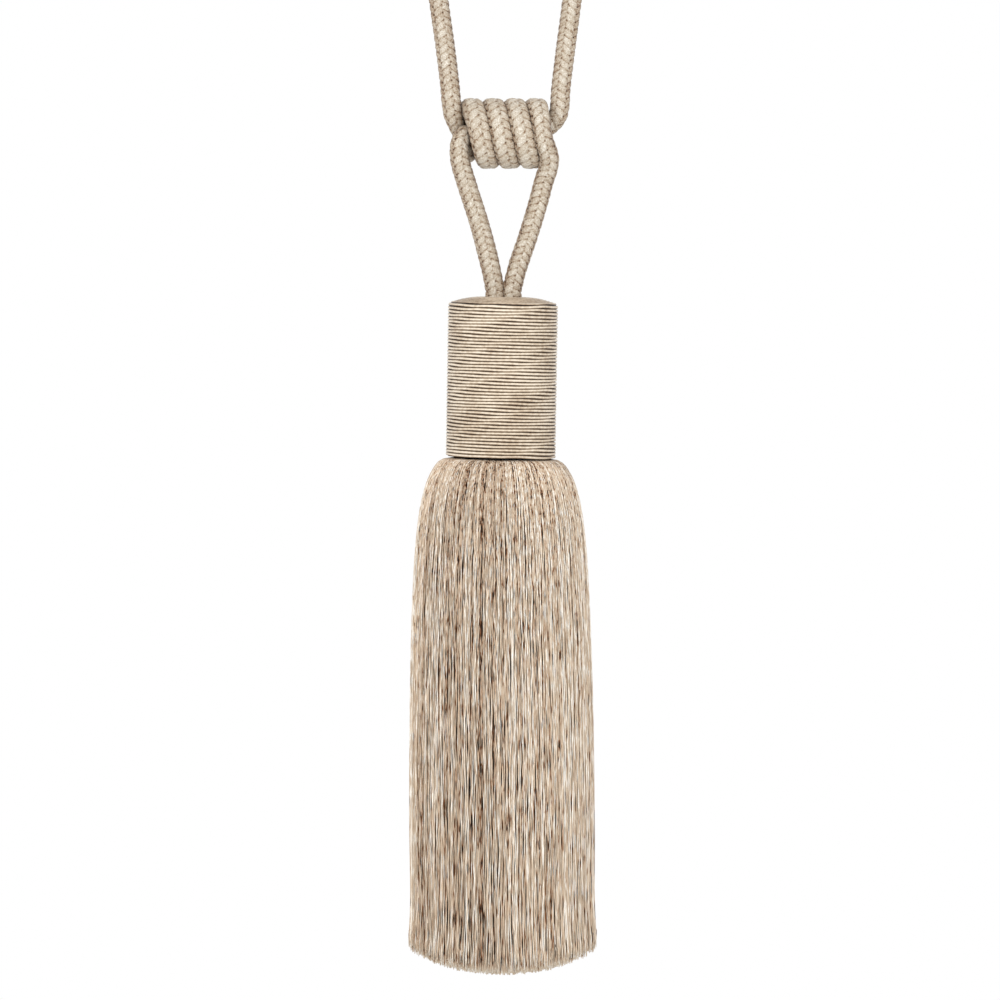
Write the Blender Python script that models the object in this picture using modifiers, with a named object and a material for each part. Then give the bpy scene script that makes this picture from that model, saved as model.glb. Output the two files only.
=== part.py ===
"""A curtain tassel: a wound head and a long fringe on a knotted rope.

Origin: the hang point, where the underside of the rope's arch bears on whatever carries it.
+Z is up and -Y is the front. All sizes are metres.
"""
import math
import random

import bmesh
import bpy
import numpy as np
from mathutils import Vector

OBJECT_NAME = "tassel"
MM = 0.001
CLEARANCE = 0.0003            # between pieces that touch

# The rope.
ROPE_DIAMETER = 8.3 * MM
KNOT_HEIGHT = -95.1 * MM      # the barrel knot's own level axis
WRAPS = 3                     # full turns round the rope's other leg
WRAP_RADIUS = 11.3 * MM       # rope's centre to the knot's axis
WRAP_PITCH = 9.4 * MM
WRAP_START = -13.4 * MM       # x of the first turn's top
WRAP_SLANT = 0.88             # how much more a turn advances in front than behind
POINTS_PER_TURN = 12
KNOT_STEP = 6.8 * MM          # spacing of the tube's points in the knot and at the rope's ends
ARCH_STEP = 10.0 * MM         # and over the arch
ARCH_DEPTH = 26.0 * MM        # from the hang point down to where the arch's legs run straight
LEG_STEP = 20.0 * MM          # spacing of the tube's points away from the turns
ROPE_SIDES_RESOLUTION = 3     # ten sides

# The head: a wound cylinder with a shallow domed top, leaning a little.
HEAD_TOP = -167.2 * MM        # the flat seat of the rope's ends
HEAD_X = 0.5 * MM
HEAD_RADIUS = 24.4 * MM
HEAD_HEIGHT = 71.6 * MM
HEAD_LEAN = math.radians(0.9)
SEAT_RADIUS = 9.5 * MM
DOME_DROP = 2.2 * MM          # from the seat down to where the rim's rounding starts
RIM_RADIUS = 2.2 * MM
FOOT_RADIUS = 1.2 * MM
HEAD_STEPS = 56

# The fringe.
HEADING_RADIUS = 19.0 * MM
# The heading's top lies under the head's leaning foot.
HEADING_TOP = CLEARANCE + HEADING_RADIUS * math.sin(HEAD_LEAN)
HEADING_THICKNESS = 7.0 * MM
HEADING_STEPS = 40
FRINGE_RIM_DROP = 215.0 * MM  # from the head's foot down to the outermost strands' ends
FRINGE_CROWN = 12.0 * MM      # how much further down the middle strands reach
FRINGE_DRIFT = 0.0042         # how far to the right the fringe hangs, for each metre down
SHOULDER_DEPTH = 18.0 * MM    # below it the strands hang straight
LAYER_DROP = 14.0 * MM        # how much lower an inner strand turns over the shoulder
STRAND_GAP = 0.45 * MM
STRAND_SWAY = 0.10 * MM
UNEVEN_END = 1.3 * MM
SEED = 7

# How wide the fringe is, in millimetres, down from the head's foot.
FRINGE_OUTLINE = (
    # depth, radius
    (1.6, 24.8),
    (2.7, 28.4),
    (5.3, 30.4),
    (9.0, 32.3),
    (18.0, 35.0),
    (36.0, 37.5),
    (63.0, 39.2),
    (105.0, 40.5),
    (165.0, 41.1),
    (196.0, 40.9),
    (216.0, 41.8),
    (232.0, 41.8),
)

# The strands stand in rings, one inside another. The shares are of the outline's radius. The root is
# the strand's end in the heading: outer radius, inner radius, outer depth, inner depth. The stations
# are the depths at which the strand bends. Radii and depths are in millimetres.
FRINGE_RINGS = (
    # strands, outer share, inner share, root, stations
    (76, 1.000, 0.892, (17.0, 17.0, 1.3, 2.3), (1.6, 4.0, 14.0, 36.0, 105.0)),
    (56, 0.872, 0.762, (16.6, 16.6, 3.3, 4.3), (1.6, 9.0, 36.0)),
    (42, 0.742, 0.628, (16.0, 16.0, 5.4, 6.4), (2.7, 9.0, 36.0)),
    (30, 0.608, 0.490, (14.6, 12.6, 6.0, 6.0), (18.0, 63.0)),
    (20, 0.470, 0.345, (11.2, 9.0, 6.0, 6.0), (18.0, 63.0)),
    (11, 0.325, 0.195, (7.8, 5.4, 6.0, 6.0), (63.0,)),
    (5, 0.175, 0.030, (4.2, 1.0, 6.0, 6.0), (63.0,)),
)

# The rope's route away from the turns, chosen along its centre line: the knot's other leg first,
# from the head up through the knot and over the arch, then the leg that starts the turns.
RISING_LEG = (
    # x, y, z, thickness
    (-3.2, 0.0, -166.7, 0.86),
    (-3.2, 0.0, -164.0, 0.86),
    (-5.2, -0.4, -153.5, 1.0),
    (-10.0, -2.4, -135.0, 1.0),
    (-15.4, -4.8, -118.0, 1.0),
    (-18.3, -6.6, -108.0, 1.0),
    (-18.9, -7.3, -102.4, 0.98),
    (-18.4, -7.2, -98.4, 0.94),
    (-16.4, -5.6, -95.4, 0.88),
    (-12.9, -3.0, -95.3, 0.86),
    (-7.6, -0.6, -94.6, 0.94),
    (0.0, 0.3, -95.1, 1.0),
    (7.6, 0.8, -95.1, 0.94),
    (13.4, 1.3, -94.8, 0.90),
    (18.4, 1.2, -93.4, 0.90),
    (22.1, 0.4, -90.7, 0.94),
    (24.5, -0.8, -87.4, 0.98),
    (25.4, -1.4, -83.6, 1.0),
    (26.0, -1.6, -75.0, 1.0),
    (28.3, -0.8, -56.0, 1.0),
    (30.9, 0.0, -36.0, 1.0),
    (32.4, 0.0, -20.0, 1.0),
    (29.6, 0.0, -7.0, 1.0),
    (20.0, 0.0, 1.6, 1.0),
    (8.0, 0.0, 4.0, 1.0),
    (0.0, 0.0, 4.15, 1.0),
    (-8.0, 0.0, 3.8, 1.0),
    (-19.0, 0.0, 1.0, 1.0),
    (-27.4, 0.0, -8.0, 1.0),
    (-29.6, 0.0, -21.0, 1.0),
    (-28.0, 0.0, -36.0, 1.0),
    (-25.2, -0.6, -56.0, 1.0),
    (-23.0, -2.6, -74.0, 1.0),
    (-22.3, -3.2, -82.0, 1.0),
    (-21.5, -1.9, -86.8, 0.98),
    (-19.7, 1.2, -91.6, 0.92),
    (-17.4, 3.0, -96.6, 0.88),
    (-16.5, 2.9, -101.2, 0.88),
    (-15.4, 6.2, -104.2, 0.90),
    (-14.5, 10.2, -101.8, 0.94),
    (-14.0, 12.0, -96.4, 1.0),
    (-13.7, 10.6, -90.0, 1.0),
    (-13.5, 6.2, -85.4, 1.0),
)

FALLING_LEG = (
    # x, y, z, thickness
    (15.8, -5.6, -85.2, 1.0),
    (16.8, -9.7, -89.3, 1.0),
    (17.6, -11.3, -94.8, 1.0),
    (18.5, -10.9, -98.6, 0.98),
    (19.8, -9.4, -102.0, 0.98),
    (20.8, -7.2, -106.0, 1.0),
    (20.3, -4.9, -110.6, 1.0),
    (18.5, -2.8, -116.0, 1.0),
    (15.6, -0.9, -127.0, 1.0),
    (11.3, 0.4, -141.0, 1.0),
    (6.8, 0.3, -154.5, 1.0),
    (4.5, 0.0, -164.0, 0.86),
    (4.5, 0.0, -166.7, 0.86),
)


def clear_scene():
    for obj in list(bpy.data.objects):
        bpy.data.objects.remove(obj, do_unlink=True)


def new_collection(name):
    collection = bpy.data.collections.new(name)
    bpy.context.scene.collection.children.link(collection)
    return collection


def cloth_material(name, colour, roughness):
    material = bpy.data.materials.new(name)
    material.use_nodes = True
    shader = material.node_tree.nodes["Principled BSDF"]
    shader.inputs["Base Color"].default_value = (*colour, 1.0)
    shader.inputs["Roughness"].default_value = roughness
    shader.inputs["Metallic"].default_value = 0.0
    return material


def add_mesh_object(name, bm, collection, material=None):
    mesh = bpy.data.meshes.new(name)
    bm.to_mesh(mesh)
    bm.free()
    obj = bpy.data.objects.new(name, mesh)
    collection.objects.link(obj)
    if material is not None:
        mesh.materials.append(material)
    mesh.shade_smooth()
    mesh.set_sharp_from_angle(angle=math.radians(35))
    return obj


def rows_in_metres(rows):
    return [(x * MM, y * MM, z * MM, thickness) for x, y, z, thickness in rows]


def wrap_rows():
    """The turns round the other leg: down in front, up behind, moving to the right."""
    rows = []
    steps = WRAPS * POINTS_PER_TURN
    for step in range(steps + 1):
        turn = math.tau * step / POINTS_PER_TURN
        advance = (turn + WRAP_SLANT * (1.0 - math.cos(turn))) / math.tau
        x = WRAP_START + WRAP_PITCH * advance
        y = -WRAP_RADIUS * math.sin(turn)
        z = KNOT_HEIGHT + WRAP_RADIUS * math.cos(turn)
        rows.append((x, y, z, 1.0))
    return rows


def smooth_curve(rows, per_span=16):
    """A centripetal Catmull-Rom curve through the rows, with the thickness carried along."""
    points = np.array(rows)
    points = np.vstack([2 * points[0] - points[1], points, 2 * points[-1] - points[-2]])
    knots = np.concatenate([[0.0], np.cumsum(np.linalg.norm(np.diff(points[:, :3], axis=0), axis=1) ** 0.5)])
    curve = []
    for first in range(1, len(points) - 2):
        span = knots[first + 1] - knots[first]
        slopes = []
        for middle in (first, first + 1):
            back = (points[middle] - points[middle - 1]) / (knots[middle] - knots[middle - 1])
            ahead = (points[middle + 1] - points[middle]) / (knots[middle + 1] - knots[middle])
            share = (knots[middle] - knots[middle - 1]) / (knots[middle + 1] - knots[middle - 1])
            slopes.append(span * (back * (1.0 - share) + ahead * share))
        for t in np.linspace(0.0, 1.0, per_span, endpoint=False):
            curve.append(points[first] * (2 * t ** 3 - 3 * t ** 2 + 1) + slopes[0] * (t ** 3 - 2 * t ** 2 + t)
                         + points[first + 1] * (3 * t ** 2 - 2 * t ** 3) + slopes[1] * (t ** 3 - t ** 2))
    curve.append(points[-2])
    return np.array(curve)


def evenly_spaced(curve, step):
    """Points along a curve at about the given step, its two ends included."""
    lengths = np.linalg.norm(np.diff(curve[:, :3], axis=0), axis=1)
    along = np.concatenate([[0.0], np.cumsum(lengths)])
    count = max(2, round(along[-1] / step) + 1)
    targets = np.linspace(0.0, along[-1], count)
    return np.column_stack([np.interp(targets, along, curve[:, k]) for k in range(4)])


def rope_points():
    """The tube's points: wider apart on the legs, closer in the knot and over the arch."""
    rising = rows_in_metres(RISING_LEG)
    turns = wrap_rows()
    falling = rows_in_metres(FALLING_LEG)
    curve = smooth_curve(rising + turns + falling)
    heights = curve[:, 2]
    steps = np.full(len(curve), LEG_STEP)
    steps[heights > -ARCH_DEPTH] = ARCH_STEP
    steps[np.abs(heights - KNOT_HEIGHT) < 1.6 * WRAP_RADIUS] = KNOT_STEP
    steps[heights < HEAD_TOP + 1.2 * ROPE_DIAMETER] = KNOT_STEP
    points = []
    start = 0
    for index in range(1, len(curve) + 1):
        if index == len(curve) or steps[index] != steps[start]:
            spaced = evenly_spaced(curve[max(start - 1, 0):index], steps[start])
            points.extend(spaced if start == 0 else spaced[1:])
            start = index
    return points


def build_rope(collection, material):
    data = bpy.data.curves.new("cord", "CURVE")
    data.dimensions = "3D"
    data.bevel_depth = ROPE_DIAMETER / 2
    data.bevel_resolution = ROPE_SIDES_RESOLUTION
    data.use_fill_caps = True
    points = rope_points()
    spline = data.splines.new("POLY")
    spline.points.add(len(points) - 1)
    for point, (x, y, z, thickness) in zip(spline.points, points):
        point.co = (x, y, z, 1.0)
        point.radius = thickness
    obj = bpy.data.objects.new("cord", data)
    collection.objects.link(obj)
    data.materials.append(material)
    return obj


def head_profile():
    """Half outline from the foot's middle round to the seat's middle, as (radius, height)."""
    foot = -HEAD_HEIGHT
    outline = [(0.0, 0.0), (SEAT_RADIUS, 0.0)]
    dome_steps = 4
    for step in range(1, dome_steps):
        share = step / dome_steps
        radius = SEAT_RADIUS + (HEAD_RADIUS - RIM_RADIUS - SEAT_RADIUS) * share
        outline.append((radius, -DOME_DROP * share ** 2))
    outline += arc(HEAD_RADIUS - RIM_RADIUS, -DOME_DROP - RIM_RADIUS, RIM_RADIUS, 90, 0)
    outline += arc(HEAD_RADIUS - FOOT_RADIUS, foot + FOOT_RADIUS, FOOT_RADIUS, 0, -90)
    outline.append((0.0, foot))
    return outline


def arc(centre_radius, centre_height, size, start, end, steps=3):
    points = []
    for step in range(steps + 1):
        angle = math.radians(start + (end - start) * step / steps)
        points.append((centre_radius + size * math.cos(angle), centre_height + size * math.sin(angle)))
    return points


def turned(name, outline, steps, collection, material=None):
    """A solid turned about Z from an outline that runs from its top's middle down its outer side."""
    bm = bmesh.new()
    verts = [bm.verts.new((radius, 0.0, height)) for radius, height in outline]
    for first, second in zip(verts, verts[1:]):
        bm.edges.new((first, second))
    obj = add_mesh_object(name, bm, collection, material)
    screw = obj.modifiers.new("turn", "SCREW")
    screw.steps = steps
    screw.render_steps = steps
    screw.use_merge_vertices = True
    screw.merge_threshold = 0.00001
    screw.use_smooth_shade = True
    return obj


def build_head(collection, material):
    head = turned("head", head_profile(), HEAD_STEPS, collection, material)
    head.location = (HEAD_X, 0.0, HEAD_TOP)
    head.rotation_euler = (0.0, HEAD_LEAN, 0.0)
    return head


def head_foot():
    """The middle of the head's underside."""
    return Vector((HEAD_X - HEAD_HEIGHT * math.sin(HEAD_LEAN), 0.0,
                   HEAD_TOP - HEAD_HEIGHT * math.cos(HEAD_LEAN)))


def fringe_radius(depth):
    depths = [row[0] * MM for row in FRINGE_OUTLINE]
    radii = [row[1] * MM for row in FRINGE_OUTLINE]
    return float(np.interp(depth, depths, radii))


def strand_end(radius):
    """How far down the fringe is cut at this radius: its bottom is a shallow dome."""
    share = min(1.0, radius / fringe_radius(FRINGE_RIM_DROP))
    return FRINGE_RIM_DROP + FRINGE_CROWN * (1.0 - share ** 3)


def strand_edges(outer_share, inner_share, root, stations, uneven):
    """The strand's outer and inner edges, each a list of (radius, depth) from root to cut end."""
    outer_edge = [(root[0] * MM, root[2] * MM)]
    inner_edge = [(root[1] * MM, root[3] * MM)]
    for edge, share in ((outer_edge, outer_share), (inner_edge, inner_share)):
        for station in stations:
            depth = station * MM
            edge.append((share * fringe_radius(depth), depth + (1.0 - share) * LAYER_DROP))
        radius = share * fringe_radius(FRINGE_RIM_DROP)
        edge.append((radius, strand_end(radius) + uneven))
    return outer_edge, inner_edge


def add_strand(bm, foot, angle, ring, rng):
    """One lock of yarn, four-sided, that swells from its root and hangs to its own cut end."""
    count, outer_share, inner_share, root, stations = ring
    uneven = rng.uniform(-UNEVEN_END, UNEVEN_END)
    outer_edge, inner_edge = strand_edges(outer_share, inner_share, root, stations, uneven)
    out = Vector((math.cos(angle), math.sin(angle), 0.0))
    across = Vector((-math.sin(angle), math.cos(angle), 0.0))
    loops = []
    for index, (outer_point, inner_point) in enumerate(zip(outer_edge, inner_edge)):
        sway = rng.uniform(-STRAND_SWAY, STRAND_SWAY) if index > 1 else 0.0
        loop = []
        corners = ((outer_point, 1), (inner_point, 1), (inner_point, -1), (outer_point, -1))
        for (radius, depth), side in corners:
            half_width = math.pi * radius / count - STRAND_GAP / 2
            drift = FRINGE_DRIFT * max(depth - SHOULDER_DEPTH, 0.0)
            corner = foot + out * radius + across * (side * half_width + sway)
            loop.append(bm.verts.new(corner + Vector((drift, 0.0, -depth))))
        loops.append(loop)
    for upper, lower in zip(loops, loops[1:]):
        for side in range(4):
            after = (side + 1) % 4
            bm.faces.new((upper[side], upper[after], lower[after], lower[side]))
    bm.faces.new(loops[0][::-1])
    bm.faces.new(loops[-1])


def build_skirt(collection, cutters, material):
    """The fringe: every strand fused at its root to the heading under the head."""
    rng = random.Random(SEED)
    foot = head_foot()
    half = HEADING_THICKNESS / 2
    outline = [(0.0, half), (HEADING_RADIUS, half), (HEADING_RADIUS, -half), (0.0, -half)]
    skirt = turned("skirt", outline, HEADING_STEPS, collection, material)
    skirt.location = foot - Vector((0.0, 0.0, HEADING_TOP + half))
    bm = bmesh.new()
    for index, ring in enumerate(FRINGE_RINGS):
        for number in range(ring[0]):
            angle = math.tau * (number + 0.5 * (index % 2)) / ring[0]
            add_strand(bm, foot, angle, ring, rng)
    bmesh.ops.recalc_face_normals(bm, faces=bm.faces)
    strands = add_mesh_object("strands", bm, cutters, material)
    strands.hide_render = True
    strands.display_type = "WIRE"
    union = skirt.modifiers.new("strands", "BOOLEAN")
    union.operation = "UNION"
    union.solver = "EXACT"
    union.object = strands
    return skirt


def main():
    clear_scene()
    parts = new_collection(OBJECT_NAME)
    cutters = new_collection("cutters")
    build_rope(parts, cloth_material("braided rope", (0.62, 0.50, 0.38), 0.75))
    build_head(parts, cloth_material("wound cord", (0.60, 0.48, 0.36), 0.65))
    build_skirt(parts, cutters, cloth_material("fringe yarn", (0.64, 0.52, 0.40), 0.60))


main()
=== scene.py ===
# %% [markdown]
# A curtain tassel, dressed. The tassel hangs from a loop of braided rope that is closed by a barrel
# knot. Both ends of the rope go into a head wound with fine cord, and a long fringe hangs from it.
# The plain solids of the model are loaded first as a fixed frame. Each of them is then covered by a
# finer piece in the same place: a braid, a winding and many separate threads.

# %% Load the plain model as the frame
import math

import bmesh
import bpy
import numpy as np
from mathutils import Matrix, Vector


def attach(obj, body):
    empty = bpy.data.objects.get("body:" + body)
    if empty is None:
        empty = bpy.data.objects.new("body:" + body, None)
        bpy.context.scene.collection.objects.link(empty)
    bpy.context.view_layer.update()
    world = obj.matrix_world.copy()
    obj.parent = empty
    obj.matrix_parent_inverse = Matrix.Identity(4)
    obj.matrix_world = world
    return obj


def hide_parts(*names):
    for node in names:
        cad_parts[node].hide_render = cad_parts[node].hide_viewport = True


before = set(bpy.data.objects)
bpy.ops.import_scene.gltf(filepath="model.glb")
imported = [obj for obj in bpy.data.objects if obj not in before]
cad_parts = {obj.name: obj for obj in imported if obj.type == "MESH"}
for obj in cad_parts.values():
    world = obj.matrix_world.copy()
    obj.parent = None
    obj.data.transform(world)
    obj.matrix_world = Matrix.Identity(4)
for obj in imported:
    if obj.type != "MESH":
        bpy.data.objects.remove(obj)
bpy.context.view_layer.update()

MM = 0.001

# %% [markdown]
# The camera comes first, because everything is judged through it. The photograph was taken from far
# away, a little above the tassel's middle, so its edges are nearly parallel. A long lens at 2.8 m
# gives that. The shift stays at zero.

# %% Camera
CAMERA_PLACE = (-0.0009, -2.8, -0.1287)
CAMERA_TILT = math.radians(2.627)
LENS = 227.8

camera_data = bpy.data.cameras.new("camera")
camera_data.sensor_width = 36.0
camera_data.lens = LENS
camera_data.clip_start = 0.05
camera = bpy.data.objects.new("camera", camera_data)
camera.location = CAMERA_PLACE
camera.rotation_euler = (math.pi / 2 - CAMERA_TILT, 0.0, 0.0)
bpy.context.scene.collection.objects.link(camera)
bpy.context.scene.camera = camera
print("camera at", CAMERA_PLACE)

# %% [markdown]
# The light is a plain studio: a white surround, a key lamp a little to the right of the camera and
# above it, and a weaker, broader lamp on the left. Satin yarn needs lamps that are large, or its
# highlights turn to sparks.

# %% Surround and lamps
world = bpy.data.worlds.new("white surround")
world.use_nodes = True
world.node_tree.nodes["Background"].inputs["Color"].default_value = (1.0, 1.0, 1.0, 1.0)
world.node_tree.nodes["Background"].inputs["Strength"].default_value = 1.0
bpy.context.scene.world = world
bpy.context.scene.view_settings.view_transform = "Standard"
AIM = Vector((0.0, 0.0, -0.26))    # the tassel's middle


def lamp(name, place, size, power):
    """A square soft lamp that points at the tassel's middle."""
    data = bpy.data.lights.new(name, "AREA")
    data.shape = "SQUARE"
    data.size = size
    data.energy = power
    made = bpy.data.objects.new(name, data)
    made.location = place
    made.rotation_euler = (AIM - Vector(place)).to_track_quat("-Z", "Y").to_euler()
    bpy.context.scene.collection.objects.link(made)
    return made


lamp("key lamp", (0.28, -1.8, 0.3), 0.7, 13.5)
lamp("fill lamp", (-1.3, -1.7, -0.1), 0.9, 9.0)

# %% [markdown]
# The floor is a pale round plate, well below the fringe and outside the photograph's view. It is
# only there to catch light and shadow in the other views.

# %% Floor
FLOOR_HEIGHT = -0.62
FLOOR_RADIUS = 1.0


def finished_object(name, bm, smooth=True):
    """A mesh object from a bmesh, at the origin, with its faces pointing outwards."""
    bmesh.ops.recalc_face_normals(bm, faces=bm.faces)
    mesh = bpy.data.meshes.new(name)
    bm.to_mesh(mesh)
    bm.free()
    if smooth:
        mesh.shade_smooth()
    made = bpy.data.objects.new(name, mesh)
    bpy.context.scene.collection.objects.link(made)
    return made


bm = bmesh.new()
bmesh.ops.create_circle(bm, cap_ends=True, radius=FLOOR_RADIUS, segments=64)
bmesh.ops.translate(bm, verts=bm.verts, vec=(0.0, 0.0, FLOOR_HEIGHT))
floor = finished_object("floor", bm, smooth=False)
print("floor at", FLOOR_HEIGHT)

# %% [markdown]
# The rope runs on one route, the same as the plain model's: up out of the head, straight through the
# knot, over the arch, down again, three times round itself, and back into the head. Its points are
# written here again in millimetres, and a smooth curve is drawn through them.

# %% The rope's route
ROPE_DIAMETER = 8.3 * MM
KNOT_HEIGHT = -95.1 * MM
WRAPS = 3                     # turns in the knot
WRAP_RADIUS = 11.3 * MM       # of the turns' centre line
WRAP_PITCH = 9.4 * MM         # from one turn to the next
WRAP_START = -13.4 * MM       # where the first turn begins, from the knot's middle
WRAP_SLANT = 0.88             # how far a turn's advance is shifted to its front half
POINTS_PER_TURN = 12
SUNK = 1.4 * MM               # how far each end goes on into the head's winding

RISING_LEG = (
    # x, y, z, thickness
    (-3.2, 0.0, -166.7, 0.86), (-3.2, 0.0, -164.0, 0.86), (-5.2, -0.4, -153.5, 1.0),
    (-10.0, -2.4, -135.0, 1.0), (-15.4, -4.8, -118.0, 1.0), (-18.3, -6.6, -108.0, 1.0),
    (-18.9, -7.3, -102.4, 0.98), (-18.4, -7.2, -98.4, 0.94), (-16.4, -5.6, -95.4, 0.88),
    (-12.9, -3.0, -95.3, 0.86), (-7.6, -0.6, -94.6, 0.94), (0.0, 0.3, -95.1, 1.0),
    (7.6, 0.8, -95.1, 0.94), (13.4, 1.3, -94.8, 0.90), (18.4, 1.2, -93.4, 0.90),
    (22.1, 0.4, -90.7, 0.94), (24.5, -0.8, -87.4, 0.98), (25.4, -1.4, -83.6, 1.0),
    (26.0, -1.6, -75.0, 1.0), (28.3, -0.8, -56.0, 1.0), (30.9, 0.0, -36.0, 1.0),
    (32.4, 0.0, -20.0, 1.0), (29.6, 0.0, -7.0, 1.0), (20.0, 0.0, 1.6, 1.0),
    (8.0, 0.0, 4.0, 1.0), (0.0, 0.0, 4.15, 1.0), (-8.0, 0.0, 3.8, 1.0),
    (-19.0, 0.0, 1.0, 1.0), (-27.4, 0.0, -8.0, 1.0), (-29.6, 0.0, -21.0, 1.0),
    (-28.0, 0.0, -36.0, 1.0), (-25.2, -0.6, -56.0, 1.0), (-23.0, -2.6, -74.0, 1.0),
    (-22.3, -3.2, -82.0, 1.0), (-21.5, -1.9, -86.8, 0.98), (-19.7, 1.2, -91.6, 0.92),
    (-17.4, 3.0, -96.6, 0.88), (-16.5, 2.9, -101.2, 0.88), (-15.4, 6.2, -104.2, 0.90),
    (-14.5, 10.2, -101.8, 0.94), (-14.0, 12.0, -96.4, 1.0), (-13.7, 10.6, -90.0, 1.0),
    (-13.5, 6.2, -85.4, 1.0),
)
FALLING_LEG = (
    # x, y, z, thickness
    (15.8, -5.6, -85.2, 1.0), (16.8, -9.7, -89.3, 1.0), (17.6, -11.3, -94.8, 1.0),
    (18.5, -10.9, -98.6, 0.98), (19.8, -9.4, -102.0, 0.98), (20.8, -7.2, -106.0, 1.0),
    (20.3, -4.9, -110.6, 1.0), (18.5, -2.8, -116.0, 1.0), (15.6, -0.9, -127.0, 1.0),
    (11.3, 0.4, -141.0, 1.0), (6.8, 0.3, -154.5, 1.0), (4.5, 0.0, -164.0, 0.86),
    (4.5, 0.0, -166.7, 0.86),
)


def rows_in_metres(rows):
    return [(x * MM, y * MM, z * MM, thickness) for x, y, z, thickness in rows]


def wrap_rows():
    """The turns round the other leg: down in front, up behind, moving to the right."""
    rows = []
    for step in range(WRAPS * POINTS_PER_TURN + 1):
        turn = math.tau * step / POINTS_PER_TURN
        advance = (turn + WRAP_SLANT * (1.0 - math.cos(turn))) / math.tau
        rows.append((WRAP_START + WRAP_PITCH * advance, -WRAP_RADIUS * math.sin(turn),
                     KNOT_HEIGHT + WRAP_RADIUS * math.cos(turn), 1.0))
    return rows


def smooth_curve(rows, per_span=24):
    """A centripetal Catmull-Rom curve through the rows, with all their columns carried along."""
    points = np.array(rows)
    points = np.vstack([2 * points[0] - points[1], points, 2 * points[-1] - points[-2]])
    spans = np.linalg.norm(np.diff(points[:, :3], axis=0), axis=1) ** 0.5
    knots = np.concatenate([[0.0], np.cumsum(spans)])
    curve = []
    for first in range(1, len(points) - 2):
        span = knots[first + 1] - knots[first]
        slopes = []
        for middle in (first, first + 1):
            back = (points[middle] - points[middle - 1]) / (knots[middle] - knots[middle - 1])
            ahead = (points[middle + 1] - points[middle]) / (knots[middle + 1] - knots[middle])
            share = (knots[middle] - knots[middle - 1]) / (knots[middle + 1] - knots[middle - 1])
            slopes.append(span * (back * (1.0 - share) + ahead * share))
        for t in np.linspace(0.0, 1.0, per_span, endpoint=False):
            curve.append(points[first] * (2 * t ** 3 - 3 * t ** 2 + 1)
                         + slopes[0] * (t ** 3 - 2 * t ** 2 + t)
                         + points[first + 1] * (3 * t ** 2 - 2 * t ** 3) + slopes[1] * (t ** 3 - t ** 2))
    curve.append(points[-2])
    return np.array(curve)


def lengths_along(points):
    """The distance from the first point to each one, along the line."""
    return np.concatenate([[0.0], np.cumsum(np.linalg.norm(np.diff(points[:, :3], axis=0), axis=1))])


route = smooth_curve(rows_in_metres(RISING_LEG) + wrap_rows() + rows_in_metres(FALLING_LEG))
below = np.array((0.0, 0.0, SUNK, 0.0))
route = np.vstack([route[0] - below, route, route[-1] - below])
along = lengths_along(route)
ROPE_LENGTH = float(along[-1])
print(f"rope's route: {len(route)} points, {ROPE_LENGTH:.3f} m")

# %% [markdown]
# The rope is a round braid. On its surface the strands make six columns of slanting floats, three
# leaning each way, so chevrons stack up along the rope. A tube with a picture of a braid
# would stay smooth at its edge. Here the tube's own rings are bent into the chevrons' zigzag, and
# each float swells between its grooves, so the outline is a real braid's. First the route is cut
# into short even steps, each with a tangent and with a sideways direction that never twists.

# %% Even steps along the rope
ROPE_STEP = 0.4 * MM
VIEWER = np.array((0.0, -1.0, 0.0))


def across(direction, vector):
    """The part of a vector that is square to a direction, at length one."""
    square = vector - direction * (direction * vector).sum(axis=-1, keepdims=True)
    return square / np.linalg.norm(square, axis=-1, keepdims=True)


def carried(tangent):
    """A sideways direction that is carried along the line without twisting round it."""
    side = across(tangent[0], VIEWER)
    sides = [side]
    for direction in tangent[1:]:
        side = across(direction, side)
        sides.append(side)
    return np.array(sides)


spots = np.linspace(0.0, ROPE_LENGTH, int(ROPE_LENGTH / ROPE_STEP) + 1)
line = np.column_stack([np.interp(spots, along, route[:, k]) for k in range(4)])
tangent = np.gradient(line[:, :3], axis=0)
tangent /= np.linalg.norm(tangent, axis=1)[:, None]
side = carried(tangent)
other = np.cross(tangent, side)
print(f"{len(spots)} steps along the rope")

# %% [markdown]
# Then the rope needs a front: the direction in which a chevron's point faces at each step. On the
# legs it faces the viewer, and in the knot's turns it faces away from the turns' own axis. Between
# them it is filled in evenly and smoothed, so the braid never twists in a jump. In the photograph
# the chevrons are turned a little aside, which a short table adds.

# %% Which side of the rope faces the front
COLUMNS = 6                   # of floats round the rope
TURN_BAND = 0.3 * MM          # a turn's centre line stays this close to its radius
TURNS_REACH = 16.5 * MM       # from the knot's middle to either side
LEG_ABOVE = 15.0 * MM         # above the knot's middle, where the legs have left the knot
LEG_BELOW = 16.0 * MM         # the same below it
FRONT_DEPTH = 3.0 * MM        # the turns' fronts are nearer to the viewer than this
ARCH_DEPTH = 26.0 * MM        # the arch's height, over which the braid turns by a column
ANGLE_WIDTH = 21              # steps over which the front's direction is smoothed
FRONT_TURNED = (
    # share of the rope's length, degrees that a chevron's point is turned aside there
    (0.0, 14.0), (0.1, 14.0), (0.17, -20.0), (0.35, -20.0), (0.45, -14.0), (0.88, -14.0), (0.92, 0.0),
)


def smoothed(numbers, width, **edges):
    """A running mean over a number of steps."""
    return np.convolve(np.pad(numbers, width // 2, **edges), np.ones(width) / width, mode="valid")


def turned(angle):
    """The direction square to the rope that lies at an angle from its untwisted side."""
    return side * np.cos(angle)[:, None] + other * np.sin(angle)[:, None]


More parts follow.
